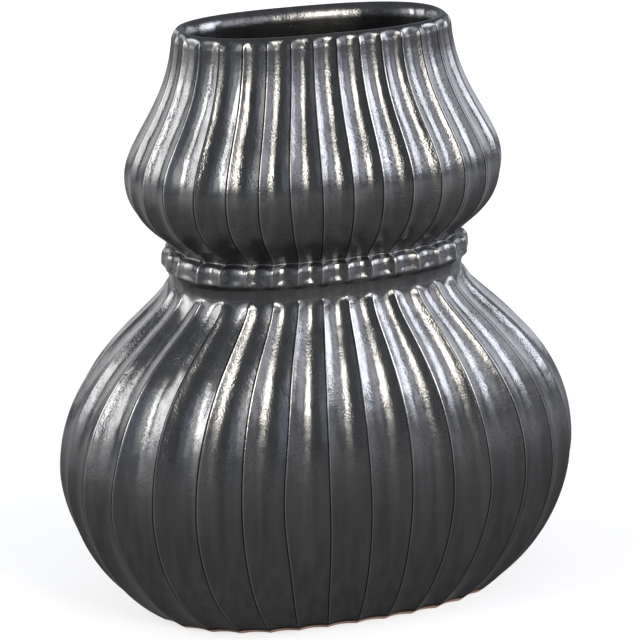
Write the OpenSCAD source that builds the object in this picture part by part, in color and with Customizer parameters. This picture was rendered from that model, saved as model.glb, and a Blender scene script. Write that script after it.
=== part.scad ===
// Fluted double-gourd vase with an oval plan: a large lower bulb, a scalloped ring round
// the neck, a smaller upper bulb and a smooth rolled lip.
// It stands on the XY plane, centred on Z, with the long side of the oval along X.
// Every wall is a loft: a row of closed loops, one above the other, joined by a skin.

/* [Foot and floor] */
// Width of the foot along the long side of the oval
foot_w = 151; // [130:1:165]
// Depth of the foot from front to back
foot_d = 92; // [80:1:100]
// Height of the bare clay ring that the vase stands on
foot_ring_h = 3; // [2:0.5:5]
// Width of the level band of clay that touches the table
foot_land = 9; // [6:0.5:14]
// Thickness of the floor slab
floor_t = 7; // [5:0.5:10]

/* [Lower bulb] */
// Greatest width of the lower bulb
belly_w = 223; // [205:1:240]
// Greatest depth of the lower bulb
belly_d = 132; // [120:1:145]
// Height of the widest line above the table
belly_rise = 61; // [52:1:72]
// Height of the narrowest line of the neck above the table
lower_bulb_h = 143; // [130:1:152]

/* [Neck and ring] */
// Width of the neck in the groove under the ring
neck_w = 127; // [118:1:129]
// Depth of the neck in the groove under the ring
neck_d = 81; // [73:1:82]
// Width of the ring across its nose
ring_w = 131; // [130:1:142]
// Depth of the ring across its nose
ring_d = 82; // [80:1:92]
// Height from the neck up to the nose of the ring
ring_rise = 7; // [5:0.5:11]
// Height from the nose up to the crease under the upper bulb
ring_top_h = 7.5; // [6:0.5:12]
// Width at the crease between the ring and the upper bulb
crease_w = 122; // [116:1:126]
// Depth at the crease between the ring and the upper bulb
crease_d = 75; // [70:1:79]

/* [Upper bulb and mouth] */
// Greatest width of the upper bulb
bulge_w = 160; // [148:1:172]
// Greatest depth of the upper bulb
bulge_d = 97; // [88:1:106]
// Height of the widest line above the crease
bulge_rise = 30; // [26:0.5:36]
// Height of the upper bulb from the crease to the underside of the lip
upper_bulb_h = 86.5; // [78:0.5:98]
// Width of the mouth over the lip
mouth_w = 118.6; // [108:0.2:128]
// Depth of the mouth over the lip
mouth_d = 61.2; // [54:0.2:68]
// Thickness of the rolled lip
lip_t = 7; // [6:0.5:9]
// Height of the rolled lip
lip_h = 6; // [4:0.5:8]

/* [Wall and flutes] */
// Thickness of the wall behind the flutes
wall_t = 5.5; // [4:0.5:7]
// Number of flutes round the vase
flute_count = 32; // [24:4:40]
// Depth of a flute as a share of its width
flute_depth_share = 0.13; // [0.06:0.01:0.18]
// Squareness of the oval, where 2 is an ellipse
oval_power = 2.47; // [2:0.01:3]

/* [Hidden] */
// Pull of a curve along its height at its lower and its upper end, as shares of its rise.
// A short pull turns tightly and a long one turns gently.
foot_pull_share = 0.32;
belly_low_pull_share = 0.18;
belly_high_pull_share = 0.62;
neck_low_pull_share = 0.16;
neck_high_pull_share = 0.65;
nose_low_pull_share = 0.25;
nose_high_pull_share = 0.75;
crease_low_pull_share = 0.1;
crease_high_pull_share = 0.17;
bulge_low_pull_share = 0.65;
bulge_high_pull_share = 0.29;
lip_pull_share = 0.485;
// Lean of a curve at an end where it is not upright, as a share of its change in width
foot_lean_share = 0.83;
ring_lean_share = 0.85;
crease_lean_share = 0.09;
lip_lean_share = 0.14;
// Wear of the ridges in the groove under the ring, as a share of a flute's depth
worn_ridge_share = 0.8;
// Depth of the flutes on the two edges of the ring's face and in the cells between them, as
// shares of their full depth
rim_flute_share = 0.5;
cell_flute_share = 1.1;
// Rise over which the ridges wear down below the neck
groove_edge_h = 3.5;
// Rise over which the ridges come back below the nose of the ring
ring_edge_h = 3;
// Rise over which a cell grows deep at the lower and the upper edge of the ring's face
cell_edge_h = 1.6;
// Rise over which the flutes grow deep again above the crease
flute_fade_h = 4.5;
// Pull of the inner wall below and above the waist
waist_low_pull_share = 0.3;
waist_high_pull_share = 0.3;
// Height in the lip where the flutes end, as a share of the lip's height
flute_end_share = 0.6;
// Height of the inner waist between the neck and the crease, as a share of that rise
waist_share = 0.5;

// Columns of points in one flute, and rows of points along each curve
facets = 4;
columns = flute_count * facets;
low_rows = 4;
shoulder_rows = 8;
groove_rows = 3;
ring_rows = 4;
mouth_rows = 5;
inner_rows = 2;
lip_rows = 6;
// Straight steps that measure the way round the oval
walk_steps = 720;
full_turn = 360;
front = -90;
// Halvings that find a height on a curve
halvings = 24;

glaze = [0.27, 0.27, 0.29];
clay = [0.66, 0.47, 0.38];

// Heights above the table
floor_top = foot_ring_h + floor_t;
nose_z = lower_bulb_h + ring_rise;
crease_z = nose_z + ring_top_h;
bulge_z = crease_z + bulge_rise;
lip_z = crease_z + upper_bulb_h;

// Stations of the outside: height, half width and half depth over the ridges
foot_at = [0, foot_w / 2, foot_d / 2];
belly_at = [belly_rise, belly_w / 2, belly_d / 2];
neck_at = [lower_bulb_h, neck_w / 2, neck_d / 2];
nose_at = [nose_z, ring_w / 2, ring_d / 2];
crease_at = [crease_z, crease_w / 2, crease_d / 2];
bulge_at = [bulge_z, bulge_w / 2, bulge_d / 2];
lip_at = [lip_z, mouth_w / 2, mouth_d / 2];

// Point of the unit oval at an angle
function signed_power(v, p) = sign(v) * pow(abs(v), p);
function oval(t) = [signed_power(cos(t), 2 / oval_power), signed_power(sin(t), 2 / oval_power)];

// Outward direction of the oval of a given half width and half depth
function outward(t, hw, hd) =
    let (e = 2 - 2 / oval_power)
    let (n = [signed_power(cos(t), e) / hw, signed_power(sin(t), e) / hd])
    n / norm(n);

// Walk round the belly from the front: length so far, and the angle reached
function belly_point(i) =
    let (p = oval(front + full_turn * i / walk_steps))
    [p[0] * belly_at[1], p[1] * belly_at[2]];
walk = [
    for (i = 0, s = 0; i <= walk_steps; i = i + 1, s = s + norm(belly_point(i) - belly_point(i - 1)))
        [s, front + full_turn * i / walk_steps]
];
belly_round = walk[walk_steps][0];

// Angles of the columns, evenly spaced along the walk, with a ridge at the front
column_angles = [for (k = [0:columns - 1]) lookup(belly_round * k / columns, walk)];

// Depth of the round-bottomed flute at each column, from 0 on the ridge to 1 in the middle
scoop = [for (k = [0:facets - 1]) 1 - pow(2 * k / facets - 1, 2)];

// Depth of the flutes where the vase has a given half width and half depth
function flute_depth(hw, hd) =
    flute_depth_share * belly_round / flute_count * (hw + hd) / (belly_at[1] + belly_at[2]);

// Smooth step from 0 below one height to 1 above another
function step_between(z, low, high) =
    let (t = max(0, min(1, (z - low) / (high - low))))
    t * t * (3 - 2 * t);

// How far the ridges are worn down at a height, as a share of a flute's depth
function ridge_cut(z) =
    worn_ridge_share * (step_between(z, lower_bulb_h - groove_edge_h, lower_bulb_h)
        - step_between(z, nose_z - ring_edge_h, nose_z));

// How deep the middle of a flute is at a height, as a share of its full depth
function middle_cut(z) =
    let (rims = step_between(z, nose_z - ring_edge_h, nose_z)
        - step_between(z, crease_z, crease_z + flute_fade_h))
    let (cell = step_between(z, nose_z, nose_z + cell_edge_h)
        - step_between(z, crease_z - cell_edge_h, crease_z))
    1 - (1 - rim_flute_share) * rims + (cell_flute_share - rim_flute_share) * cell;

// One closed loop. Its cut goes from the share at_ridge of the depth on the ridges to the share
// in_middle between them. A lift of 0 leaves the flutes whole, and 1 fills them up.
function loop(z, hw, hd, depth, lift = 0, at_ridge = 0, in_middle = 1) = [
    for (k = [0:columns - 1])
        let (t = column_angles[k])
        let (p = oval(t))
        let (n = outward(t, hw, hd))
        let (cut = depth * (at_ridge + (in_middle - at_ridge) * max(0, scoop[k % facets] - lift)))
        [p[0] * hw - n[0] * cut, p[1] * hd - n[1] * cut, z]
];

// Curve between two stations: it is upright at both ends unless it has a lean there
function curve(a, b, pull_a, pull_b, lean_a = 0, lean_b = 0) =
    let (rise = b - a)
    [
        a,
        a + [rise[0] * pull_a, rise[1] * lean_a, rise[2] * lean_a],
        b - [rise[0] * pull_b, rise[1] * lean_b, rise[2] * lean_b],
        b
    ];
function along(c, u) =
    pow(1 - u, 3) * c[0] + 3 * pow(1 - u, 2) * u * c[1] + 3 * (1 - u) * u * u * c[2] + pow(u, 3) * c[3];

// Share of the way along a curve where it reaches a height
function share_at(c, z, lo = 0, hi = 1, n = halvings) =
    n == 0 ? (lo + hi) / 2 :
    along(c, (lo + hi) / 2)[0] < z ? share_at(c, z, (lo + hi) / 2, hi, n - 1) :
    share_at(c, z, lo, (lo + hi) / 2, n - 1);

// Stations spread evenly along a curve from one share to another
function steps(c, rows, from = 0, to = 1) = [for (i = [0:rows]) along(c, from + (to - from) * i / rows)];
// The same list without its first station, which the list before it already has
function after_first(list) = [for (i = [1:len(list) - 1]) list[i]];
function reversed(list) = [for (i = [len(list) - 1:-1:0]) list[i]];

low_curve = curve(foot_at, belly_at, foot_pull_share, belly_low_pull_share, lean_a = foot_lean_share);
shoulder_curve = curve(belly_at, neck_at, belly_high_pull_share, neck_low_pull_share);
under_ring_curve = curve(neck_at, nose_at, neck_high_pull_share, nose_low_pull_share);
over_ring_curve = curve(nose_at, crease_at, nose_high_pull_share, crease_low_pull_share,
    lean_b = ring_lean_share);
under_bulge_curve = curve(crease_at, bulge_at, crease_high_pull_share, bulge_low_pull_share,
    lean_a = crease_lean_share);
mouth_curve = curve(bulge_at, lip_at, bulge_high_pull_share, lip_pull_share, lean_b = lip_lean_share);

// Stations of the inside: the outside less the flutes and the wall
function inner(s) = s - [0, 1, 1] * (wall_t + flute_depth(s[1], s[2]));
foot_ring_top_at = along(low_curve, share_at(low_curve, foot_ring_h));
floor_top_at = along(low_curve, share_at(low_curve, floor_top));
inner_floor_at = inner(floor_top_at);
inner_belly_at = inner(belly_at);
inner_waist_at = [
    lower_bulb_h + (crease_z - lower_bulb_h) * waist_share,
    inner(crease_at)[1],
    inner(crease_at)[2]
];
inner_bulge_at = inner(bulge_at);
throat_at = lip_at - [0, 1, 1] * lip_t;

inner_low_curve = curve(inner_floor_at, inner_belly_at, foot_pull_share, belly_low_pull_share,
    lean_a = foot_lean_share);
inner_shoulder_curve = curve(inner_belly_at, inner_waist_at, belly_high_pull_share, waist_low_pull_share);
inner_bulge_curve = curve(inner_waist_at, inner_bulge_at, waist_high_pull_share, bulge_low_pull_share);
inner_mouth_curve = curve(inner_bulge_at, throat_at, bulge_high_pull_share, lip_pull_share);

// Loops of the fluted outside and of the plain inside
function fluted(stations) = [
    for (s = stations)
        loop(s[0], s[1], s[2], flute_depth(s[1], s[2]),
            at_ridge = ridge_cut(s[0]), in_middle = middle_cut(s[0]))
];
function plain(stations) = [for (s = stations) loop(s[0], s[1], s[2], 0)];

// Skin round a closed section: the last loop joins the first one again
module hollow_skin(loops) {
    rows = len(loops);
    polyhedron(
        points = [for (row = loops, p = row) p],
        faces = [
            for (i = [0:rows - 1], k = [0:columns - 1], half = [0:1])
                let (a = i * columns + k)
                let (b = i * columns + (k + 1) % columns)
                let (c = (i + 1) % rows * columns + (k + 1) % columns)
                let (d = (i + 1) % rows * columns + k)
                half == 0 ? [a, c, b] : [a, d, c]
        ]
    );
}

// Skin of a solid slab with a level face at each end
module solid_skin(loops) {
    rows = len(loops);
    polyhedron(
        points = [for (row = loops, p = row) p],
        faces = concat(
            [[for (k = [0:columns - 1]) k]],
            [
                for (i = [0:rows - 2], k = [0:columns - 1], half = [0:1])
                    let (a = i * columns + k)
                    let (b = i * columns + (k + 1) % columns)
                    let (c = b + columns)
                    let (d = a + columns)
                    half == 0 ? [a, c, b] : [a, d, c]
            ],
            [[for (k = [columns - 1:-1:0]) (rows - 1) * columns + k]]
        )
    );
}

// Bare clay ring that lifts the floor off the table
module foot_ring() {
    color(clay) hollow_skin(concat(
        fluted([foot_at, foot_ring_top_at]),
        plain([foot_ring_top_at - [0, 1, 1] * foot_land, foot_at - [0, 1, 1] * foot_land])
    ));
}

// Floor slab, whose edge carries the lower ends of the flutes
module base_floor() {
    color(glaze) solid_skin(fluted([foot_ring_top_at, floor_top_at]));
}

// Wall of the large bulb from the floor to the neck
module lower_bulb() {
    outside = concat(
        steps(low_curve, low_rows, from = share_at(low_curve, floor_top)),
        after_first(steps(shoulder_curve, shoulder_rows))
    );
    waist_cut = share_at(inner_shoulder_curve, lower_bulb_h);
    inside = concat(
        steps(inner_low_curve, inner_rows),
        after_first(steps(inner_shoulder_curve, inner_rows, to = waist_cut))
    );
    color(glaze) hollow_skin(concat(fluted(outside), plain(reversed(inside))));
}

// Scalloped ring section between the two bulbs
module waist_ring() {
    outside = concat(
        steps(under_ring_curve, groove_rows),
        after_first(steps(over_ring_curve, ring_rows))
    );
    below = along(inner_shoulder_curve, share_at(inner_shoulder_curve, lower_bulb_h));
    above = along(inner_bulge_curve, share_at(inner_bulge_curve, crease_z));
    color(glaze) hollow_skin(concat(fluted(outside), plain([above, inner_waist_at, below])));
}

// Wall of the small bulb from the crease to the lip
module upper_bulb() {
    outside = concat(
        steps(under_bulge_curve, low_rows),
        after_first(steps(mouth_curve, mouth_rows))
    );
    inside = concat(
        steps(inner_bulge_curve, inner_rows, from = share_at(inner_bulge_curve, crease_z)),
        after_first(steps(inner_mouth_curve, inner_rows))
    );
    color(glaze) hollow_skin(concat(fluted(outside), plain(reversed(inside))));
}

// Rolled lip: the flutes run out in arches on its outer side
module mouth_lip() {
    roll = [
        for (i = [0:lip_rows])
            let (turn = full_turn / 2 * i / lip_rows)
            let (inset = lip_t / 2 * (1 - cos(turn)))
            let (rise = sin(turn))
            let (lift = turn > full_turn / 4 ? 1 : min(1, pow(rise / flute_end_share, 2)))
            loop(lip_z + lip_h * rise, lip_at[1] - inset, lip_at[2] - inset,
                flute_depth(lip_at[1], lip_at[2]), lift)
    ];
    color(glaze) hollow_skin(roll);
}

foot_ring();
base_floor();
lower_bulb();
waist_ring();
upper_bulb();
mouth_lip();
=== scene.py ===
# %% [markdown]
# # A fluted double-gourd vase
#
# The real object is a ceramic vase in a dark gunmetal glaze: a large fluted bulb, a scalloped
# ring round the neck, a small fluted bulb and a smooth rolled lip, all with an oval plan. This
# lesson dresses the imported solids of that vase. Their shape and size are fixed, and Blender adds
# what the eye reads: a fine surface, the glaze, the bare clay under the foot, and studio light.

import math

import bpy
import numpy as np
from mathutils import Matrix, Vector


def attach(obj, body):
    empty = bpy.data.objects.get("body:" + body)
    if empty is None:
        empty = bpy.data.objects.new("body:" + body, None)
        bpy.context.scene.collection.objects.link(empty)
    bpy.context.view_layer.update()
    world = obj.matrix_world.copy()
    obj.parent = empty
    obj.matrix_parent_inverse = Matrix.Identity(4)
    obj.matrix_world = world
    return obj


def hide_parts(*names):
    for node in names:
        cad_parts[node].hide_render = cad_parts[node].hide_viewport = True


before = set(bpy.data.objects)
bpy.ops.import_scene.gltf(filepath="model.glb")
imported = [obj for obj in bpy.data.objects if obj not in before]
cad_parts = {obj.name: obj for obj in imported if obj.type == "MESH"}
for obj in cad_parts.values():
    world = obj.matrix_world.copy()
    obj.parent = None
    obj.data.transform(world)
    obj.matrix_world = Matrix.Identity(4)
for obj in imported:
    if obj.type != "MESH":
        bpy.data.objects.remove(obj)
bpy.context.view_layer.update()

# %% [markdown]
# ## The sizes
#
# Every length is in metres, so one factor turns millimetres into them. The stations are levels
# of the vase where its outline turns: each holds its height, its half width and its half depth,
# measured over the ridges. They are the same stations as in the solids, so the fine surface
# falls exactly where the solids are.

# %% Stations of the outline
MM = 0.001
FLUTES = 32
FLUTE_DEPTH_SHARE = 0.13      # depth of a flute as a share of its width
OVAL_POWER = 2.47             # 2 would be an ellipse, and more is squarer
WALL = 5.5 * MM
WAIST_SHARE = 0.5             # height of the inner waist between the neck and the crease
LIP_THICKNESS, LIP_HEIGHT = 7 * MM, 6 * MM
FOOT_RING_TOP, FLOOR_TOP = 3 * MM, 10 * MM
FOOT_LAND = 9 * MM


def station(height, width, depth):
    """Height above the table, half width and half depth, from sizes in millimetres."""
    return np.array([height, width / 2, depth / 2]) * MM


foot_at = station(0, 151, 92)
belly_at = station(61, 223, 132)
neck_at = station(143, 127, 81)
nose_at = station(150, 131, 82)
crease_at = station(157.5, 122, 75)
bulge_at = station(187.5, 160, 97)
lip_at = station(244, 118.6, 61.2)
stations = (foot_at, belly_at, neck_at, nose_at, crease_at, bulge_at, lip_at)
print("stations from the table to the lip, in mm:", [round(float(s[0] / MM), 1) for s in stations])

# %% [markdown]
# ## The oval and the profile
#
# The plan of the vase is a superellipse: a circle's sine and cosine, each raised to a power a
# little under 1, so that the oval is squarer than an ellipse. The profile is a chain of cubic
# Bezier curves from station to station. A potter's template is drawn the same way, with a few
# firm points and a smooth line between them.


# %% Formulas of the oval and of the profile
def signed_power(v, p):
    """The size of v raised to the power p, with the sign that v had."""
    return np.sign(v) * np.abs(v) ** p


def oval(t):
    """Unit oval: x is cos(t) and y is sin(t), each raised to 2 / OVAL_POWER with its sign kept."""
    return signed_power(np.cos(t), 2 / OVAL_POWER), signed_power(np.sin(t), 2 / OVAL_POWER)


def curve(a, b, pull_a, pull_b, lean_a=0.0, lean_b=0.0):
    """Four control stations of a cubic Bezier from a to b. A handle goes up by pull times the rise
    and sideways by lean times the change in width, so without a lean the curve is upright there."""
    rise = b - a
    return np.array([a, a + rise * [pull_a, lean_a, lean_a], b - rise * [pull_b, lean_b, lean_b], b])


def along(c, u):
    """Stations at the shares u of a Bezier: the cubic Bernstein weights times its four controls."""
    u = np.asarray(u, float)
    weights = np.stack([(1 - u) ** 3, 3 * (1 - u) ** 2 * u, 3 * (1 - u) * u ** 2, u ** 3], -1)
    return weights @ c


def share_at(c, height):
    """Share of a curve where it reaches a height, read back from 4001 sampled stations."""
    u = np.linspace(0, 1, 4001)
    return float(np.interp(height, along(c, u)[:, 0], u))


# The inner wall repeats the bend of the belly's lower half and that of the mouth.
LOW_BEND = {"pull_a": 0.32, "pull_b": 0.18, "lean_a": 0.83}
MOUTH_PULLS = 0.29, 0.485

low_curve = curve(foot_at, belly_at, **LOW_BEND)
shoulder_curve = curve(belly_at, neck_at, 0.62, 0.16)
under_ring_curve = curve(neck_at, nose_at, 0.65, 0.25)
over_ring_curve = curve(nose_at, crease_at, 0.75, 0.1, lean_b=0.85)
under_bulge_curve = curve(crease_at, bulge_at, 0.17, 0.65, lean_a=0.09)
mouth_curve = curve(bulge_at, lip_at, *MOUTH_PULLS, lean_b=0.14)
halfway = along(low_curve, 0.5)
print(f"halfway up the low curve the vase is {2 * halfway[1] / MM:.1f} mm wide")

# %% [markdown]
# ## Where the flutes lie
#
# The flutes are evenly spaced along the widest line of the belly, as a potter would step them
# off with dividers, with a ridge at the middle of the front. So the way round the belly is
# measured first, as the length of many short straight steps, and then read back: a distance
# round the vase gives the angle of the oval.

# %% Way round the belly
WALK_POINTS = 14401           # enough short straight steps to measure the oval

walk_angle = np.linspace(-math.pi / 2, 1.5 * math.pi, WALK_POINTS)
walk_x, walk_y = oval(walk_angle)
walk_steps = np.hypot(np.diff(walk_x * belly_at[1]), np.diff(walk_y * belly_at[2]))
walk_length = np.concatenate([[0], np.cumsum(walk_steps)])
BELLY_ROUND = float(walk_length[-1])


def angle_of(flute):
    """Angle of the oval at a distance round the vase, counted in flutes from the front ridge."""
    return np.interp(np.mod(flute, FLUTES) / FLUTES * BELLY_ROUND, walk_length, walk_angle)


print(f"way round the belly {BELLY_ROUND / MM:.1f} mm, one flute {BELLY_ROUND / FLUTES / MM:.2f} mm wide")

# %% [markdown]
# ## How deep the flutes are
#
# A flute keeps its section as it gets narrower, so its depth is a share of its width. Two places
# differ. In the groove under the ring the ridges are worn away, as a wet finger does it, and on
# the ring's face the flutes turn into a row of cells with shallow rims.

# %% Depth of the flutes at each height
# Heights in millimetres where a change starts, is full, is still full and is gone again, and how
# great the change is, as a share of a flute's depth.
GROOVE_LEVELS, GROOVE_WEAR = (139.5, 143, 147, 150), 0.8
FACE_LEVELS, RIM_LOSS = (146.5, 150, 156, 158.2), 0.45
CELL_LEVELS, CELL_GAIN = (149.2, 152.2, 155.6, 157.5), 0.5


def flute_depth(half_width, half_depth):
    """Depth of the flutes at a level: a share of the flute's width, which shrinks with the oval."""
    size = (half_width + half_depth) / (belly_at[1] + belly_at[2])
    return FLUTE_DEPTH_SHARE * BELLY_ROUND / FLUTES * size


def step_between(v, low, high):
    """0 below low, 1 above high, and 3t^2 - 2t^3 between them, where t is the share of the way."""
    t = np.clip((v - low) / (high - low), 0, 1)
    return t * t * (3 - 2 * t)


def between(height, levels):
    """0 outside the outer two levels, 1 between the inner two, and a smooth step up and down."""
    h = np.asarray(height) / MM
    return step_between(h, *levels[:2]) - step_between(h, *levels[2:])


def ridge_cut(height):
    """How far the ridges are worn down at a height, as a share of a flute's depth: not at all on the
    bulbs and the ring, and nearly down to the flutes in the groove under the ring."""
    return GROOVE_WEAR * between(height, GROOVE_LEVELS)


def middle_cut(height):
    """How deep the middle of a flute is at a height, as a share of its full depth: shallow on the two
    edges of the ring's face, so that the flutes turn into a row of cells there."""
    return 1 - RIM_LOSS * between(height, FACE_LEVELS) + CELL_GAIN * between(height, CELL_LEVELS)


for level_mm in (61, 145, 148, 153):
    print(f"at {level_mm} mm: ridges worn by {ridge_cut(level_mm * MM):.2f},"
          f" middle of a flute {middle_cut(level_mm * MM):.2f} deep")

# %% [markdown]
# ## One skin, from the foot over the lip to the floor
#
# The vase could be made of separate lofts, but then a thin line of shading would show at each
# joint. So one skin of rows is worked out first: up the outside, over the lip and down the
# inside. Each piece takes its rows from that skin, and neighbours share the row between them.
# A row says how high and how wide the skin is there. How much of a flute is left at it, and which
# way the flute is cut, are worked out for each row after that.


# %% Inner wall and rolled lip
def rows_on(c, count, start=0.0, end=1.0):
    """Stations on a curve from one share to another, at even shares of the way between."""
    return along(c, np.linspace(start, end, count + 1))


def inner(s):
    """The station of the inner wall: the outer one less the flute and the wall."""
    return s - np.array([0, 1, 1]) * (WALL + flute_depth(s[1], s[2]))


floor_share = share_at(low_curve, FLOOR_TOP)
ring_share = share_at(low_curve, FOOT_RING_TOP)
waist_at = inner(crease_at) * [0, 1, 1] + [neck_at[0] + WAIST_SHARE * (crease_at[0] - neck_at[0]), 0, 0]
inner_floor_at = inner(along(low_curve, floor_share))
throat_at = lip_at - np.array([0, 1, 1]) * LIP_THICKNESS
inner_low_curve = curve(inner_floor_at, inner(belly_at), **LOW_BEND)
inner_shoulder_curve = curve(inner(belly_at), waist_at, 0.65, 0.3)
inner_bulge_curve = curve(waist_at, inner(bulge_at), 0.3, 0.65)
inner_mouth_curve = curve(inner(bulge_at), throat_at, *MOUTH_PULLS)

# The rolled lip is half a turn of an ellipse, from the outer wall over the top to the throat.
LIP_ROWS = 44
FLUTES_FADE = 0.35, 1.4       # angles of that turn, in radians, between which the flutes fade out
turn = np.linspace(0, math.pi, LIP_ROWS + 1)
lip_rise = np.sin(turn)
lip_inset = LIP_THICKNESS / 2 * (1 - np.cos(turn))
lip_roll = lip_at + np.stack([LIP_HEIGHT * lip_rise, -lip_inset, -lip_inset], -1)

waist_low_share = share_at(inner_shoulder_curve, neck_at[0])
waist_high_share = share_at(inner_bulge_curve, crease_at[0])
print(f"wall {WALL / MM:.1f} mm thick under the flutes, inner waist at {waist_at[0] / MM:.2f} mm")

# %% [markdown]
# ## The rows in one list
#
# The skin is a list of segments, each a name and its rows. The outside ones go up, and the inside
# ones are turned round, so that the whole list runs one way. A segment starts on the last row of
# the one before it, and two small dictionaries remember where each begins and ends.

# %% Rows of the skin
# The number after each curve is how many rows it gets, more where the flutes change fast.
segments = [
    ("foot", rows_on(low_curve, 8, 0, ring_share)),
    ("floor_edge", rows_on(low_curve, 8, ring_share, floor_share)),
    ("low", rows_on(low_curve, 50, floor_share, 1)),
    ("shoulder", rows_on(shoulder_curve, 70)),
    ("under_ring", rows_on(under_ring_curve, 24)),
    ("over_ring", rows_on(over_ring_curve, 34)),
    ("under_bulge", rows_on(under_bulge_curve, 34)),
    ("mouth", rows_on(mouth_curve, 60)),
    ("lip", lip_roll),
    ("inner_mouth", rows_on(inner_mouth_curve, 16)[::-1]),
    ("inner_bulge", rows_on(inner_bulge_curve, 10, waist_high_share, 1)[::-1]),
    ("waist_high", rows_on(inner_bulge_curve, 5, 0, waist_high_share)[::-1]),
    ("waist_low", rows_on(inner_shoulder_curve, 5, waist_low_share, 1)[::-1]),
    ("inner_shoulder", rows_on(inner_shoulder_curve, 14, 0, waist_low_share)[::-1]),
    ("inner_low", rows_on(inner_low_curve, 10)[::-1]),
]
parts, first_row, last_row = [segments[0][1][:1]], {}, {}
for name, rows in segments:
    first_row[name] = sum(map(len, parts)) - 1
    parts.append(rows[1:])
    last_row[name] = sum(map(len, parts)) - 1
skin_rows = np.concatenate(parts)

# How far the flutes have faded at each row: not at all outside, and fully past the lip's turn.
lift = np.zeros(len(skin_rows))
lift[first_row["lip"]:last_row["lip"] + 1] = step_between(turn, *FLUTES_FADE)
lift[last_row["lip"]:] = 1
print(len(skin_rows), "rows in the skin")

# %% [markdown]
# ## Columns and the section of a flute
#
# A flute is a shallow round-bottomed channel, and two flutes meet in a sharp ridge. The glaze
# rounds the ridge to a line about a millimetre wide, which is what catches the light, so the
# columns crowd together near the ridges. The vase was shaped by hand in a mould, so its ridges
# wander a little: each one gets its own slow sideways wave, from a seeded generator.

# %% Columns of the skin
PER_FLUTE = 20
CROWDING = 0.7                # 0 spreads the columns evenly, and near 1 they crowd at the ridges
CREST_ROUNDING = 0.15         # radius of the ridge's crest as a share of the flute's depth
SEED = 7
WANDER = 0.020                # sideways wander of a ridge as a share of a flute's width
WANDER_LENGTHS = np.array([70, 120, 260]) * MM
DEPTH_SPREAD, DEPTH_LIMITS = 0.05, (0.88, 1.12)     # one flute's depth as a share of the usual

even = np.arange(FLUTES * PER_FLUTE) / PER_FLUTE
flute_number = np.floor(even).astype(int)
across = (even % 1) - CROWDING * np.sin(2 * math.pi * even) / (2 * math.pi)

rng = np.random.default_rng(SEED)
waves = rng.normal(size=(3, FLUTES)), rng.uniform(0, 2 * math.pi, size=(3, FLUTES))
depth_of_flute = np.clip(1 + DEPTH_SPREAD * rng.normal(size=FLUTES), *DEPTH_LIMITS)


def wander(height):
    """Sideways shift of every ridge at each height, in flutes: three sine waves along the height,
    70, 120 and 260 mm long, each ridge with a strength and a start of its own."""
    strength, start = waves
    length = WANDER_LENGTHS[:, None, None]
    wave = np.sin(2 * math.pi * height[None, :, None] / length + start[:, None, :])
    return WANDER * (strength[:, None, :] * wave).sum(0)


def flute_section(x):
    """Share of the flute's depth at the share x of its width: a parabola that is 0 on the ridges
    and 1 in the middle, with a rounded crest."""
    scoop = 1 - (2 * x - 1) ** 2
    e = CREST_ROUNDING
    return (np.sqrt(scoop ** 2 + e ** 2) - e) / (math.sqrt(1 + e ** 2) - e)


column_gaps = np.diff(across[:PER_FLUTE]) * BELLY_ROUND / FLUTES / MM
print(f"{len(even)} columns, {column_gaps.min():.2f} to {column_gaps.max():.2f} mm apart on the belly")

# %% [markdown]
# ## From the formulas to points
#
# First the smooth oval walls are worked out without flutes, and their outward direction. Then
# each flute is cut into the wall, straight inwards along that direction, so that it stays as
# deep on the sloping shoulder as on the upright belly. At the foot and round the ring the cut is
# level instead, because the foot has to stand flat on the table and the cells face straight out.


# %% Points and directions of the skin
def unit(v):
    """Directions of length 1. A direction of no length at all stays as it is."""
    return v / np.maximum(np.linalg.norm(v, axis=-1, keepdims=True), 1e-12)


def directions(points):
    """Outward unit direction of a grid of points: the cross product of the way round and the way
    up, each taken from the neighbours on both sides."""
    way_round = np.roll(points, -1, 1) - np.roll(points, 1, 1)
    return unit(np.cross(way_round, np.gradient(points, axis=0)))


heights = skin_rows[:, 0]
fluted = lift < 1
shift = wander(heights) * fluted[:, None]
left, right = shift[:, flute_number], shift[:, (flute_number + 1) % FLUTES]
column = flute_number + across + (1 - across) * left + across * right
unit_x, unit_y = oval(angle_of(column))
wall = np.stack([unit_x * skin_rows[:, 1:2], unit_y * skin_rows[:, 2:3],
                 np.repeat(heights[:, None], len(even), 1)], -1)

slanted = directions(wall)
level = unit(slanted * [1, 1, 0])
# Heights in millimetres between which the cut turns from level to slanted, back to level at the
# neck, and to slanted again above the ring.
SLANTED_FROM, LEVEL_FROM, SLANTED_AGAIN = (10, 30), (130, 142), (158, 168)
slant = (step_between(heights / MM, *SLANTED_FROM) - step_between(heights / MM, *LEVEL_FROM)
         + step_between(heights / MM, *SLANTED_AGAIN))[:, None, None]
cut_way = unit(slanted * slant + level * (1 - slant))

full_depth = flute_depth(skin_rows[:, 1], skin_rows[:, 2])[:, None]
at_ridge, in_middle = ridge_cut(heights)[:, None], middle_cut(heights)[:, None]
section = flute_section(across[None, :])
cut = full_depth * (at_ridge + (in_middle * depth_of_flute[flute_number] - at_ridge) * section)
cut = cut * (1 - lift[:, None])
skin = wall - cut_way * cut[..., None]
skin_out = directions(skin)
skin_out[last_row["lip"] + 1:] = directions(wall)[last_row["lip"] + 1:]

print("skin of", skin.shape[0], "by", skin.shape[1], "points")
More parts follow.
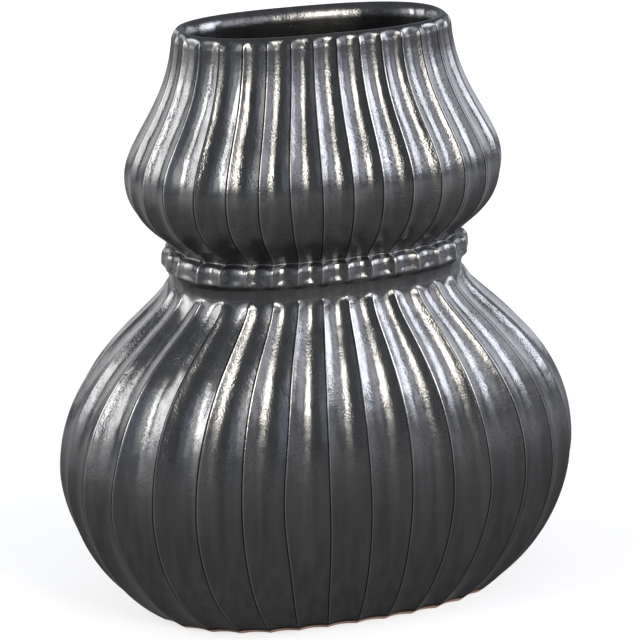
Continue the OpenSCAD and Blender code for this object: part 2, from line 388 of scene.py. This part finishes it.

# %% [markdown]
# ## Where the ridges are, for the painted lines
#
# The colour carries a painted highlight and a painted shade line along each sharp ridge, so it has to
# know how far a point is from one.
# The ridges wander, and no pattern on plain coordinates would follow them. So that distance is
# worked out here for every point, and the mesh carries it as an attribute.

# %% Distance from the nearest ridge
NO_RIDGE = 9.0                # a distance in millimetres at which no painted highlight or shade line is drawn
RING_BAND = 147 * MM, 158.5 * MM
RING_OFFSET = 0.1             # in millimetres: it keeps the painted shade line off the ring's short ridges
WORN_SHARE = 0.3              # a ridge worn or faded by more than this share has no painted line

# The distance is in millimetres, and less than 0 on a ridge's left side. In the groove and over
# the lip's turn there is no ridge, and on the ring both sides are alike.
flute_width = BELLY_ROUND / FLUTES * (skin_rows[:, 1] + skin_rows[:, 2]) / (belly_at[1] + belly_at[2])
ridge_distance = (across - np.round(across))[None, :] * flute_width[:, None] / MM
on_ring = (heights > RING_BAND[0]) & (heights < RING_BAND[1])
ridge_distance = np.where(on_ring[:, None], np.abs(ridge_distance) + RING_OFFSET, ridge_distance)
worn = (lift > WORN_SHARE) | (ridge_cut(heights) > WORN_SHARE)
ridge_distance = np.where(worn[:, None], NO_RIDGE, ridge_distance)
print((~worn).sum(), "of", len(worn), "rows have ridges with a line")

# %% [markdown]
# ## Closed pieces
#
# A piece is a ring of rows that runs up its outside and down its inside and meets itself again.
# The two level faces where the piece touches its neighbours are shaded flat, and its walls take
# the directions of the whole skin, so no seam shows. The floor is a slab: its two faces are fans
# round a middle point.


# %% Build a mesh from arrays
def make_mesh(name, points, faces, corner_out, ridge):
    """One object from arrays: points, faces of 3 or 4 corners given as one flat list with the
    corner count of each face, an outward direction for every corner, and each point's distance
    from the nearest ridge, which the mesh carries as the attribute ridge_mm."""
    corners, counts = faces
    mesh = bpy.data.meshes.new(name)
    mesh.vertices.add(len(points))
    mesh.vertices.foreach_set("co", points.astype(np.float32).ravel())
    mesh.loops.add(len(corners))
    mesh.loops.foreach_set("vertex_index", corners.astype(np.int32))
    mesh.polygons.add(len(counts))
    mesh.polygons.foreach_set("loop_start", (np.cumsum(counts) - counts).astype(np.int32))
    mesh.polygons.foreach_set("use_smooth", np.ones(len(counts), bool))
    mesh.update(calc_edges=True)
    attribute = mesh.attributes.new("ridge_mm", "FLOAT", "POINT")
    attribute.data.foreach_set("value", ridge.astype(np.float32))
    mesh.normals_split_custom_set(corner_out.astype(np.float32))
    piece = bpy.data.objects.new(name, mesh)
    bpy.context.scene.collection.objects.link(piece)
    return piece


def quad_mesh(name, points, quads, corner_out, ridge):
    """One object from a grid of points and the four corners of each of its quads."""
    faces = quads.reshape(-1, 4)
    return make_mesh(name, points.reshape(-1, 3), (faces.ravel(), np.full(len(faces), 4)),
                     corner_out.reshape(-1, 3), ridge.ravel())


def ring_quads(rows, columns):
    """Corners of the quads between closed rows, where the last row joins the first one again."""
    i, k = np.meshgrid(np.arange(rows), np.arange(columns), indexing="ij")
    a, b = i * columns + k, i * columns + (k + 1) % columns
    above = (i + 1) % rows * columns
    return np.stack([a, b, above + (k + 1) % columns, above + k], -1)


def take(*names):
    """Row numbers of the skin for some segments in a row, with the rows at both ends."""
    return np.arange(first_row[names[0]], last_row[names[-1]] + 1)


def wall_piece(name, outside, inside):
    """A hollow section: the outside rows going up, then the inside rows going down. Where two rows
    next to each other aren't neighbours in the skin, the face between them is a level joint."""
    order = np.concatenate([outside, inside])
    points, out, ridge = skin[order], skin_out[order], ridge_distance[order]
    rows, columns = points.shape[:2]
    quads = ring_quads(rows, columns)
    flat = out.reshape(-1, 3)[quads]
    jump = np.roll(order, -1) - order != 1
    flat[jump] = np.where((order < last_row["lip"])[jump], 1.0, -1.0)[:, None, None, None] * [0, 0, 1]
    return quad_mesh(name, points, quads, flat, ridge)


lower_bulb = wall_piece("glazed_lower_bulb",
                        take("low", "shoulder"), take("inner_shoulder", "inner_low"))
waist_ring = wall_piece("glazed_waist_ring",
                        take("under_ring", "over_ring"), take("waist_high", "waist_low"))
upper_bulb = wall_piece("glazed_upper_bulb",
                        take("under_bulge", "mouth"), take("inner_mouth", "inner_bulge"))
mouth_lip = wall_piece("glazed_mouth_lip", take("lip"), take("lip")[:0])
for piece in (lower_bulb, waist_ring, upper_bulb, mouth_lip):
    print(piece.name, len(piece.data.polygons), "faces")

# %% [markdown]
# ## The foot and the floor
#
# The foot ring is the only bare clay. Its lower edge was sponged before firing, so it is rounded
# by half a millimetre. The floor slab closes the vase, and its edge carries the flutes' ends.

# %% Foot ring and floor slab
EDGE = 0.5 * MM               # radius of the foot's sponged edge


def foot_piece(name):
    """The foot ring: the outside rows of the skin with the lowest ones drawn in on a quarter turn,
    then the plain inner wall, which goes straight down."""
    outside = skin[take("foot")].copy()
    low = np.clip(1 - outside[..., 2] / EDGE, 0, 1)
    outside -= skin_out[take("foot")] * [1, 1, 0] * (EDGE * (1 - np.sqrt(1 - low ** 2)))[..., None]
    top = along(low_curve, ring_share)
    inside = []
    for s in (top, foot_at):
        x, y = oval(angle_of(even))
        land = s - np.array([0, 1, 1]) * FOOT_LAND
        inside.append(np.stack([x * land[1], y * land[2], np.full(len(even), s[0])], -1))
    points = np.concatenate([outside, np.array(inside)])
    rows, columns = points.shape[:2]
    quads = ring_quads(rows, columns)
    out = directions(outside)
    out = np.concatenate([out, -directions(np.array(inside)[::-1])[::-1]])
    flat = out.reshape(-1, 3)[quads]
    flat[len(outside) - 1] = [0, 0, 1]
    flat[rows - 1] = [0, 0, -1]
    ridge = np.concatenate([ridge_distance[take("foot")], np.full((2, columns), NO_RIDGE)])
    return quad_mesh(name, points, quads, flat, ridge)


def slab_piece(name):
    """The floor: the rows of its edge, with a fan of triangles round a middle point at each end."""
    order = take("floor_edge")
    edge, out = skin[order], skin_out[order]
    rows, columns = edge.shape[:2]
    middle = np.array([[0, 0, heights[order[0]]], [0, 0, heights[order[-1]]]])
    points = np.concatenate([edge.reshape(-1, 3), middle])
    quads = ring_quads(rows, columns)[:-1]
    k = np.arange(columns)
    top = (rows - 1) * columns
    below = np.stack([np.full(columns, rows * columns), (k + 1) % columns, k], -1)
    above = np.stack([np.full(columns, rows * columns + 1), top + k, top + (k + 1) % columns], -1)
    corners = np.concatenate([quads.ravel(), below.ravel(), above.ravel()])
    counts = np.concatenate([np.full(quads.size // 4, 4), np.full(2 * columns, 3)])
    down, up = np.tile([0, 0, -1], (3 * columns, 1)), np.tile([0, 0, 1], (3 * columns, 1))
    corner_out = np.concatenate([out.reshape(-1, 3)[quads].reshape(-1, 3), down, up])
    ridge = np.concatenate([ridge_distance[order].ravel(), [NO_RIDGE, NO_RIDGE]])
    return make_mesh(name, points, (corners, counts), corner_out, ridge)


foot_ring = foot_piece("clay_foot_ring")
base_floor = slab_piece("glazed_base_floor")
for piece in (foot_ring, base_floor):
    print(piece.name, len(piece.data.polygons), "faces")

# %% [markdown]
# ## Each piece stands for its solid
#
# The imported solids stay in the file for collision, and the fine pieces are shown instead. Each
# piece rides on the one body that the vase has.

# %% Tie the pieces to the solids
stands_for = {"foot_ring": foot_ring, "base_floor": base_floor, "lower_bulb": lower_bulb,
              "waist_ring": waist_ring, "upper_bulb": upper_bulb, "mouth_lip": mouth_lip}
for node, piece in stands_for.items():
    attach(piece, "root")
    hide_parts(node)
print("pieces:", sorted(p.name for p in stands_for.values()))


# %% [markdown]
# ## Colours and nodes
#
# Colours are written as sRGB hex values, as a picker shows them, and one function turns them
# into the linear values that the shader needs. A second small function adds a node, sets its
# values and joins its inputs, so that each material reads as a list of steps. A third one starts
# a material with an empty tree of nodes.


# %% Helpers for materials
def colour(code):
    """Linear colour with alpha from an sRGB hex code: the sRGB curve undone for each channel."""
    c = np.array([int(code[i:i + 2], 16) for i in (1, 3, 5)]) / 255
    linear = np.where(c <= 0.04045, c / 12.92, ((c + 0.055) / 1.055) ** 2.4)
    return (*linear.tolist(), 1.0)


def add(tree, kind, inputs=None, **settings):
    """Adds a node to a tree. Settings are the node's own, and inputs are values or other sockets."""
    node = tree.nodes.new(kind)
    for key, value in settings.items():
        setattr(node, key, value)
    for key, value in (inputs or {}).items():
        if isinstance(value, bpy.types.NodeSocket):
            tree.links.new(value, node.inputs[key])
        else:
            node.inputs[key].default_value = value
    return node


def per_mm(size):
    """Scale of a pattern whose cells are this many millimetres wide."""
    return 1 / (size * MM)


def new_material(name):
    """A new material and its node tree, with no nodes yet."""
    material = bpy.data.materials.new(name)
    material.use_nodes = True
    material.node_tree.nodes.clear()
    return material, material.node_tree


print("mid grey #808080 is", round(colour("#808080")[0], 3), "in linear light")

# %% [markdown]
# ## The gunmetal glaze
#
# A gunmetal glaze is a stoneware glaze full of manganese, iron and copper. As it cools, metal
# crystals close its skin, so to the shader it is mostly a dark metal with the low roughness of a
# melted surface: near black where it mirrors the dark of the room, and almost white where it
# mirrors a lamp. Its colour comes first: soft streaks where it ran, and flecks of coarse crystals.

# %% Streaks and flecks of the glaze
# Sizes in millimetres. Real crystals are about a tenth of a millimetre wide, which is too fine to
# show in the render, so they are drawn as coarse as they need to show.
CRYSTAL, PATCH, STREAK = 0.85, 12.0, 3.5
STREAK_SQUEEZE = 0.03         # share of the height that the pattern sees, so its streaks are tall
THIN_BELOW, THICK_ABOVE = 45 * MM, 80 * MM     # heights between which the glaze gets thick


def crystals(tree, place):
    """The crystals, and how coarse they are at each point, from 0.2 to 1: fine noise for them, and
    slow noise for the patches where they are coarse."""
    crystal = add(tree, "ShaderNodeTexNoise", {"Vector": place, "Scale": per_mm(CRYSTAL), "Detail": 2.0})
    patch = add(tree, "ShaderNodeTexNoise", {"Vector": place, "Scale": per_mm(PATCH), "Detail": 2.0})
    coarse = add(tree, "ShaderNodeMapRange", {
        "Value": patch.outputs["Fac"], "From Min": 0.35, "From Max": 0.65, "To Min": 0.2, "To Max": 1.0})
    return crystal.outputs["Fac"], coarse.outputs["Result"]


def flecked_colour(tree, place, height, crystal, coarse):
    """Colour of the glaze, and how much of a fleck each point is: crystals times their coarseness
    times the thickness of the glaze."""
    # The glaze ran down the flutes and left soft upright streaks, a little lighter and darker.
    drawn_out = add(tree, "ShaderNodeVectorMath", {0: place, 1: (1, 1, STREAK_SQUEEZE)},
                    operation="MULTIPLY")
    streak = add(tree, "ShaderNodeTexNoise", {
        "Vector": drawn_out.outputs["Vector"], "Scale": per_mm(STREAK), "Detail": 1.0})
    soft = add(tree, "ShaderNodeMapRange", {
        "Value": streak.outputs["Fac"], "From Min": 0.32, "From Max": 0.68})
    run = add(tree, "ShaderNodeMix", {
        "Factor": soft.outputs["Result"], "A": colour("#5E5E5E"), "B": colour("#6B6B6B")},
        data_type="RGBA")

    # Flecks of coarse crystals stand in patches, where the glaze is thick above the belly's lower
    # half. They are darker than the closed skin between them, so they sprinkle the bright bands
    # and their ragged edges with dark dots.
    thick = add(tree, "ShaderNodeMapRange", {
        "Value": height, "From Min": THIN_BELOW, "From Max": THICK_ABOVE, "To Min": 0.15})
    speck = add(tree, "ShaderNodeMapRange", {"Value": crystal, "From Min": 0.53, "From Max": 0.66})
    coarse_speck = add(tree, "ShaderNodeMath", {0: speck.outputs["Result"], 1: coarse},
                       operation="MULTIPLY")
    fleck = add(tree, "ShaderNodeMath", {0: coarse_speck.outputs["Value"], 1: thick.outputs["Result"]},
                operation="MULTIPLY").outputs["Value"]
    flecked = add(tree, "ShaderNodeMix", {
        "Factor": fleck, "A": run.outputs["Result"], "B": colour("#4E5054")}, data_type="RGBA")
    return flecked.outputs["Result"], fleck


print("crystals", CRYSTAL, "mm, in patches", PATCH, "mm, over streaks", STREAK, "mm wide")

# %% [markdown]
# ## Painted lines along the ridges
#
# The rounded crest of a sharp ridge mirrors the dark of the room on one side and a lamp on the
# other. That is painted into the colour: a thin painted shade line with a painted highlight on its
# right. Both are worked out from the distance that the mesh carries, so they follow each
# ridge as it wanders.

# %% Painted highlight and shade lines along the ridges
# Each line: its distance from the ridge, half of its full width, half of its whole width with the
# faded edge, all in millimetres, and its colour. The last one is laid on top.
# The first line is a painted highlight on a ridge's right, the second a painted shade line on its left.
RIDGE_HIGHLIGHT_AND_SHADE_LINES = ((0.3, 0.05, 0.3, "#8E8C8B"), (-0.28, 0.15, 0.36, "#282626"))


def painted_ridge_light_colour(tree, under):
    """The colour under the painted highlight and shade lines with each of them laid over it: a line is
    full where the distance from its middle is small, and gone where it is more than half of the whole
    width."""
    ridge = add(tree, "ShaderNodeAttribute", attribute_name="ridge_mm").outputs["Fac"]
    for middle, full, whole, code in RIDGE_HIGHLIGHT_AND_SHADE_LINES:
        beside = add(tree, "ShaderNodeMath", {0: ridge, 1: middle}, operation="SUBTRACT")
        away = add(tree, "ShaderNodeMath", {0: beside.outputs["Value"]}, operation="ABSOLUTE")
        outside = add(tree, "ShaderNodeMapRange", {
            "Value": away.outputs["Value"], "From Min": full, "From Max": whole})
        painted_line = add(tree, "ShaderNodeMix", {
            "Factor": outside.outputs["Result"], "A": colour(code), "B": under}, data_type="RGBA")
        under = painted_line.outputs["Result"]
    return under


print("lines beside each ridge at", [line[0] for line in RIDGE_HIGHLIGHT_AND_SHADE_LINES], "mm")

# %% [markdown]
# ## The skin of the glaze
#
# The glaze pulled into slow waves as it melted, so the bright bands wander. Where the crystals are
# coarse they tilt a little, and the edge of a band turns ragged and grainy. Gas left a few
# pinholes. The glaze also ran down and left faint level ripples, so it mirrors softer upwards than
# sideways, which is what anisotropy does. It ran off the belly's shoulder before it set, and the
# ripples are weaker there.

# %% Skin of the gunmetal glaze
WAVE, PINHOLE = 7.0, 30.0     # length of a wave and distance between pinholes in millimetres
WAVE_HEIGHT, CRYSTAL_HEIGHT, PIT_DEPTH = 0.25 * MM, 0.11 * MM, 0.15 * MM
SHOULDER = 120 * MM           # height of the shoulder's middle
WEAK_WITHIN, FULL_BEYOND = 10 * MM, 26 * MM    # distances from it where the ripples change


def bumped(tree, place, crystal, coarse):
    """Bumped normal: slow waves, then crystals, then pinholes, each laid over the one before."""
    wave = add(tree, "ShaderNodeTexNoise", {"Vector": place, "Scale": per_mm(WAVE), "Detail": 1.0})
    hole = add(tree, "ShaderNodeTexVoronoi", {"Vector": place, "Scale": per_mm(PINHOLE)})
    pit = add(tree, "ShaderNodeMapRange", {
        "Value": hole.outputs["Distance"], "From Min": 0.012, "From Max": 0.02})
    swell = add(tree, "ShaderNodeBump", {
        "Height": wave.outputs["Fac"], "Strength": 0.8, "Distance": WAVE_HEIGHT})
    grainy = add(tree, "ShaderNodeBump", {
        "Height": crystal, "Strength": coarse, "Distance": CRYSTAL_HEIGHT,
        "Normal": swell.outputs["Normal"]})
    pitted = add(tree, "ShaderNodeBump", {
        "Height": pit.outputs["Result"], "Strength": 0.4, "Distance": PIT_DEPTH,
        "Normal": grainy.outputs["Normal"]})
    return pitted.outputs["Normal"]


def ripples(tree, height):
    """Strength of the level ripples: 0.35 round the shoulder's height and 0.85 away from it."""
    from_shoulder = add(tree, "ShaderNodeMath", {0: height, 1: SHOULDER}, operation="SUBTRACT")
    away = add(tree, "ShaderNodeMath", {0: from_shoulder.outputs["Value"]}, operation="ABSOLUTE")
    strength = add(tree, "ShaderNodeMapRange", {
        "Value": away.outputs["Value"], "From Min": WEAK_WITHIN, "From Max": FULL_BEYOND,
        "To Min": 0.35, "To Max": 0.85})
    return strength.outputs["Result"]


def gunmetal_glaze(name):
    """Metallic stoneware glaze: a dark metal of low roughness with the colour, painted ridge lines and
    bumps.
    """
    material, tree = new_material(name)
    place = add(tree, "ShaderNodeTexCoord").outputs["Object"]
    height = add(tree, "ShaderNodeSeparateXYZ", {"Vector": place}).outputs["Z"]
    crystal, coarse = crystals(tree, place)
    flecked, fleck = flecked_colour(tree, place, height, crystal, coarse)
    # The flecks are a little rougher than the closed skin between them.
    rough = add(tree, "ShaderNodeMapRange", {"Value": fleck, "To Min": 0.18, "To Max": 0.25})
    round_vase = add(tree, "ShaderNodeTangent", direction_type="RADIAL", axis="Z")
    surface = add(tree, "ShaderNodeBsdfPrincipled", {
        "Base Color": painted_ridge_light_colour(tree, flecked), "Metallic": 0.95,
        "Roughness": rough.outputs["Result"], "IOR": 1.5,
        "Anisotropic": ripples(tree, height), "Anisotropic Rotation": 0.25,
        "Tangent": round_vase.outputs["Tangent"], "Normal": bumped(tree, place, crystal, coarse)})
    add(tree, "ShaderNodeOutputMaterial", {"Surface": surface.outputs["BSDF"]})
    return material


glaze = gunmetal_glaze("gunmetal_glaze")
for piece in (lower_bulb, waist_ring, upper_bulb, mouth_lip, base_floor):
    piece.data.materials.append(glaze)
print("glaze of", len(glaze.node_tree.nodes), "nodes, with waves", WAVE, "mm long")

# %% [markdown]
# ## The bare clay of the foot
#
# The potter wipes the foot before firing, so that the glaze can't stick to the kiln shelf. The
# wiped line shows as a thin band of pale pinkish stoneware, with a dark brown edge where the
# glaze ends. The foot ring is glazed above that line and bare below it and underneath.


# %% Stoneware foot
WIPED_LINE = 1.5              # height of the bare band in millimetres
LINE_DRIFT = 0.6              # how far the line wanders up and down in all, in millimetres
DRIFT, SAND = 9, 0.7          # sizes of that wander and of the sand in the clay, in millimetres


def stoneware_foot(name):
    """Bare sandy clay up to a line that wanders a little, then a dark brown edge, then the glaze."""
    material, tree = new_material(name)
    place = add(tree, "ShaderNodeTexCoord").outputs["Object"]
    height = add(tree, "ShaderNodeSeparateXYZ", {"Vector": place}).outputs["Z"]
    drift = add(tree, "ShaderNodeTexNoise", {"Vector": place, "Scale": per_mm(DRIFT), "Detail": 2.0})
    sand = add(tree, "ShaderNodeTexNoise", {"Vector": place, "Scale": per_mm(SAND), "Detail": 3.0})
    line = add(tree, "ShaderNodeMath", {
        0: drift.outputs["Fac"], 1: LINE_DRIFT * MM, 2: (WIPED_LINE - LINE_DRIFT / 2) * MM},
        operation="MULTIPLY_ADD")
    above = add(tree, "ShaderNodeMath", {0: height, 1: line.outputs["Value"]},
                operation="SUBTRACT").outputs["Value"]
    glazed = add(tree, "ShaderNodeMapRange", {
        "Value": above, "From Min": 0.0, "From Max": 0.15 * MM}).outputs["Result"]
    brown = add(tree, "ShaderNodeMapRange", {
        "Value": above, "From Min": 0.1 * MM, "From Max": 0.7 * MM})
    clay = add(tree, "ShaderNodeMix", {
        "Factor": sand.outputs["Fac"], "A": colour("#B98F7C"), "B": colour("#D8B39E")},
        data_type="RGBA")
    edge = add(tree, "ShaderNodeMix", {
        "Factor": brown.outputs["Result"], "A": colour("#4A2C22"), "B": colour("#2E3034")},
        data_type="RGBA")
    tint = add(tree, "ShaderNodeMix", {
        "Factor": glazed, "A": clay.outputs["Result"], "B": edge.outputs["Result"]},
        data_type="RGBA")
    rough = add(tree, "ShaderNodeMapRange", {"Value": glazed, "To Min": 0.9, "To Max": 0.24})
    metal = add(tree, "ShaderNodeMapRange", {"Value": glazed, "To Min": 0.0, "To Max": 0.6})
    pitted = add(tree, "ShaderNodeBump", {
        "Height": sand.outputs["Fac"], "Strength": 0.5, "Distance": 0.06 * MM})
    foot = add(tree, "ShaderNodeBsdfPrincipled", {
        "Base Color": tint.outputs["Result"], "Metallic": metal.outputs["Result"],
        "Roughness": rough.outputs["Result"], "IOR": 1.5, "Normal": pitted.outputs["Normal"]})
    add(tree, "ShaderNodeOutputMaterial", {"Surface": foot.outputs["BSDF"]})
    return material


foot_ring.data.materials.append(stoneware_foot("stoneware_foot"))
print("bare clay below", WIPED_LINE, "mm")

# %% [markdown]
# ## The camera
#
# The photograph was taken from a little above and to the left, with a long lens. A shift moves
# the picture without turning the camera, and the camera is rolled by about one degree, as a hand
# or a tripod head does.

# %% Camera at the photograph's viewing angle
AZIMUTH, ELEVATION, ROLL = -19.04, 17.45, -0.918     # degrees
DISTANCE, LENS = 1.395, 185.8                        # metres, and millimetres on a 36 mm sensor
SHIFT_X, SHIFT_Y = 0.0052, -0.0160                   # shares of the picture
MIDDLE = Vector((0, 0, 0.125))                       # half the height of the vase


def toward(azimuth, elevation):
    """Unit direction from the vase to a place at that azimuth from the front and that elevation."""
    a, e = math.radians(azimuth), math.radians(elevation)
    return Vector((math.sin(a) * math.cos(e), -math.cos(a) * math.cos(e), math.sin(e)))


camera = bpy.data.objects.new("camera", bpy.data.cameras.new("camera"))
bpy.context.scene.collection.objects.link(camera)
camera.data.sensor_width = 36
camera.data.lens = LENS
camera.data.shift_x, camera.data.shift_y = SHIFT_X, SHIFT_Y
camera.data.clip_start, camera.data.clip_end = 0.05, 50
back = toward(AZIMUTH, ELEVATION)
camera.location = MIDDLE + back * DISTANCE
camera.rotation_mode = "QUATERNION"
roll = Matrix.Rotation(math.radians(ROLL), 3, "Z")
camera.rotation_quaternion = ((-back).to_track_quat("-Z", "Y").to_matrix() @ roll).to_quaternion()
bpy.context.scene.camera = camera
print("camera at", [round(v, 3) for v in camera.location])

# %% [markdown]
# ## The floor
#
# The floor is one large pale sheet, so that it fills the picture and keeps the vase's shadow. The
# camera sees it lifted to white, as in a cut-out product photo. The glaze mirrors it as grey
# paper instead, because a white floor in the mirror would bleach the belly's dark lower half. That
# paper is darkest in front of the vase, a painted shade in what the glaze mirrors.

# %% Pale floor
HALF_SIDE = 6.0               # metres
PAINTED_SHADE_SPOT = 0.25             # metres from the vase towards the camera, where the paper's painted shade is darkest


def pale_floor():
    """A square sheet. Its colour and its lift both follow the distance from a spot in front of the
    vase: dark and little lifted near it, where the shadow falls, and pale and white far away. The
    dark colour near it is a painted shade, which the vase sees and mirrors but the camera doesn't."""
    mesh = bpy.data.meshes.new("pale_floor")
    corners = [(-HALF_SIDE, -HALF_SIDE, 0), (HALF_SIDE, -HALF_SIDE, 0),
               (HALF_SIDE, HALF_SIDE, 0), (-HALF_SIDE, HALF_SIDE, 0)]
    mesh.from_pydata(corners, [], [(0, 1, 2, 3)])
    floor = bpy.data.objects.new("pale_floor", mesh)
    bpy.context.scene.collection.objects.link(floor)
    material, tree = new_material("pale_paper")
    seen = add(tree, "ShaderNodeLightPath").outputs["Is Camera Ray"]
    place = add(tree, "ShaderNodeTexCoord").outputs["Object"]
    away = add(tree, "ShaderNodeVectorMath", {0: place, 1: toward(AZIMUTH, 0) * PAINTED_SHADE_SPOT},
               operation="DISTANCE").outputs["Value"]
    # Painted shade: the paper that the vase sees is darkest within 0.4 m of the spot and pale beyond 0.85
    # m.
    shade_fade = add(tree, "ShaderNodeMapRange", {"Value": away, "From Min": 0.4, "From Max": 0.85})
    painted_shade_tone = add(tree, "ShaderNodeMix", {
        "Factor": shade_fade.outputs["Result"], "A": colour("#868686"), "B": colour("#D8D8D8")},
        data_type="RGBA")
    paper = add(tree, "ShaderNodeBsdfDiffuse", {"Color": painted_shade_tone.outputs["Result"]})
    white = add(tree, "ShaderNodeBsdfDiffuse", {"Color": colour("#B4B4B4")})
    # The lamps don't reach the far floor, so it is lifted more there. Near the vase the shadow shows.
    raised = add(tree, "ShaderNodeMapRange", {
        "Value": away, "From Min": 0.45, "From Max": 1.6, "To Min": 0.6, "To Max": 1.0})
    glow = add(tree, "ShaderNodeEmission", {
        "Color": colour("#FFFFFF"), "Strength": raised.outputs["Result"]})
    bright = add(tree, "ShaderNodeAddShader", {0: white.outputs["BSDF"], 1: glow.outputs["Emission"]})
    both = add(tree, "ShaderNodeMixShader", {
        "Fac": seen, 1: paper.outputs["BSDF"], 2: bright.outputs["Shader"]})
    add(tree, "ShaderNodeOutputMaterial", {"Surface": both.outputs["Shader"]})
    mesh.materials.append(material)
    return floor


pale_floor()
print("floor", 2 * HALF_SIDE, "m a side")

# %% [markdown]
# ## Light
#
# A glazed vase is lit by what it mirrors, so the places and sizes of the lamps matter more than
# their power. Softboxes stand to the left and right of the camera, with weak panels between them,
# and the dark gap in the middle is what the front of the vase mirrors. The lamp on the right of
# the camera is a little warm and the ones at the side a little cold, as the bands in the photo.

# %% Softboxes
def softbox(name, azimuth, elevation, distance, width, height, radiance, tint="#FFFFFF"):
    """A square-edged area lamp that faces the vase. Azimuth is from the camera's side, positive to
    the right. The power follows from the wanted radiance: pi times the area times the radiance."""
    lamp = bpy.data.lights.new(name, "AREA")
    lamp.shape = "RECTANGLE"
    lamp.size, lamp.size_y = width, height
    lamp.energy = radiance * math.pi * width * height
    lamp.color = colour(tint)[:3]
    box = bpy.data.objects.new(name, lamp)
    bpy.context.scene.collection.objects.link(box)
    way = toward(AZIMUTH + azimuth, elevation)
    box.location = MIDDLE + way * distance
    box.rotation_mode = "QUATERNION"
    box.rotation_quaternion = (-way).to_track_quat("-Z", "Y")


# Azimuth and elevation in degrees, distance, width and height in metres, radiance, and the tint.
softbox("left_softbox", -88, 23, 1.25, 0.70, 0.52, 5.9)
softbox("left_low_panel", -78, 4, 1.3, 1.2, 0.28, 1.0)
softbox("left_front_softbox", -56.5, 26, 1.25, 0.26, 0.52, 11)
softbox("left_front_panel", -39, 24, 1.3, 0.34, 0.6, 2.2)
softbox("left_middle_panel", -22, 20, 1.35, 0.42, 0.7, 0.6, "#DCE8FF")
softbox("warm_softbox", 29, 24, 1.25, 0.33, 0.46, 15, "#FFF9EE")
softbox("right_front_panel", 55, 22, 1.3, 0.5, 0.6, 2.1, "#F4F2FF")
softbox("right_softbox", 85, 22, 1.25, 0.53, 0.56, 8.6, "#F1F4FF")
softbox("far_right_panel", 125, 14, 1.3, 0.9, 0.5, 2.6, "#F1F4FF")
softbox("far_left_panel", -134, 14, 1.3, 0.9, 0.5, 1.6)

# %% [markdown]
# ## The room
#
# Between the lamps the vase mirrors a plain room, so the world is one even cool grey. The view
# transform is Standard, which shows a colour as it is written.

# %% World and view
ROOM_TONE, ROOM_STRENGTH = "#8E9299", 1.0

world = bpy.data.worlds.new("studio")
bpy.context.scene.world = world
world.use_nodes = True
world.node_tree.nodes["Background"].inputs["Color"].default_value = colour(ROOM_TONE)
world.node_tree.nodes["Background"].inputs["Strength"].default_value = ROOM_STRENGTH
bpy.context.scene.view_settings.view_transform = "Standard"
print("room of", ROOM_TONE, "at strength", ROOM_STRENGTH)

# %% [markdown]
# ## Finish
#
# Blender must not change the size of the vase. Here the view layer is brought up to date.

# %% Finish
bpy.context.view_layer.update()
